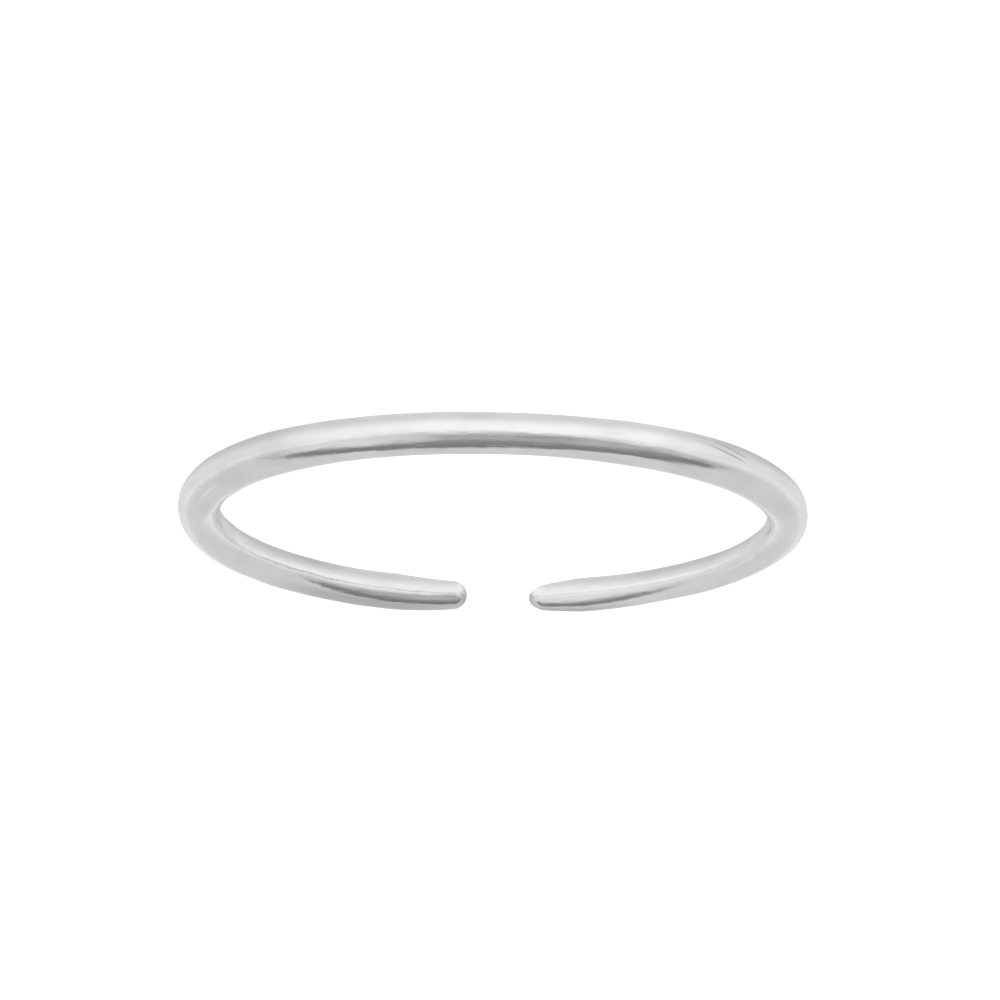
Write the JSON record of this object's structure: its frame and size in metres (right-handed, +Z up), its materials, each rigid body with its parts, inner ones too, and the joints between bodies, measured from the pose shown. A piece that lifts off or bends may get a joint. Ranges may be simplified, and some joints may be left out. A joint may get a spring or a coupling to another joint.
{
  "type": "toe ring",
  "caption": "Plain open toe ring of polished round silver wire, thicker at the front, with rounded ends that leave a gap at the back so that it can be squeezed to size.",
  "frame": {"origin": "centre of the ring on the surface that it lies on", "axes": "+Z up through the ring, along the toe; -Y to the thick front and +Y to the gap; +X to the fuller arm and -X to the slimmer one"},
  "size_m": [0.0174, 0.0171, 0.0012],
  "materials": {
    "silver": "polished silver with faint hand polishing marks"
  },
  "bodies": {
    "root": {"band": "silver"}
  },
  "joints": []
}
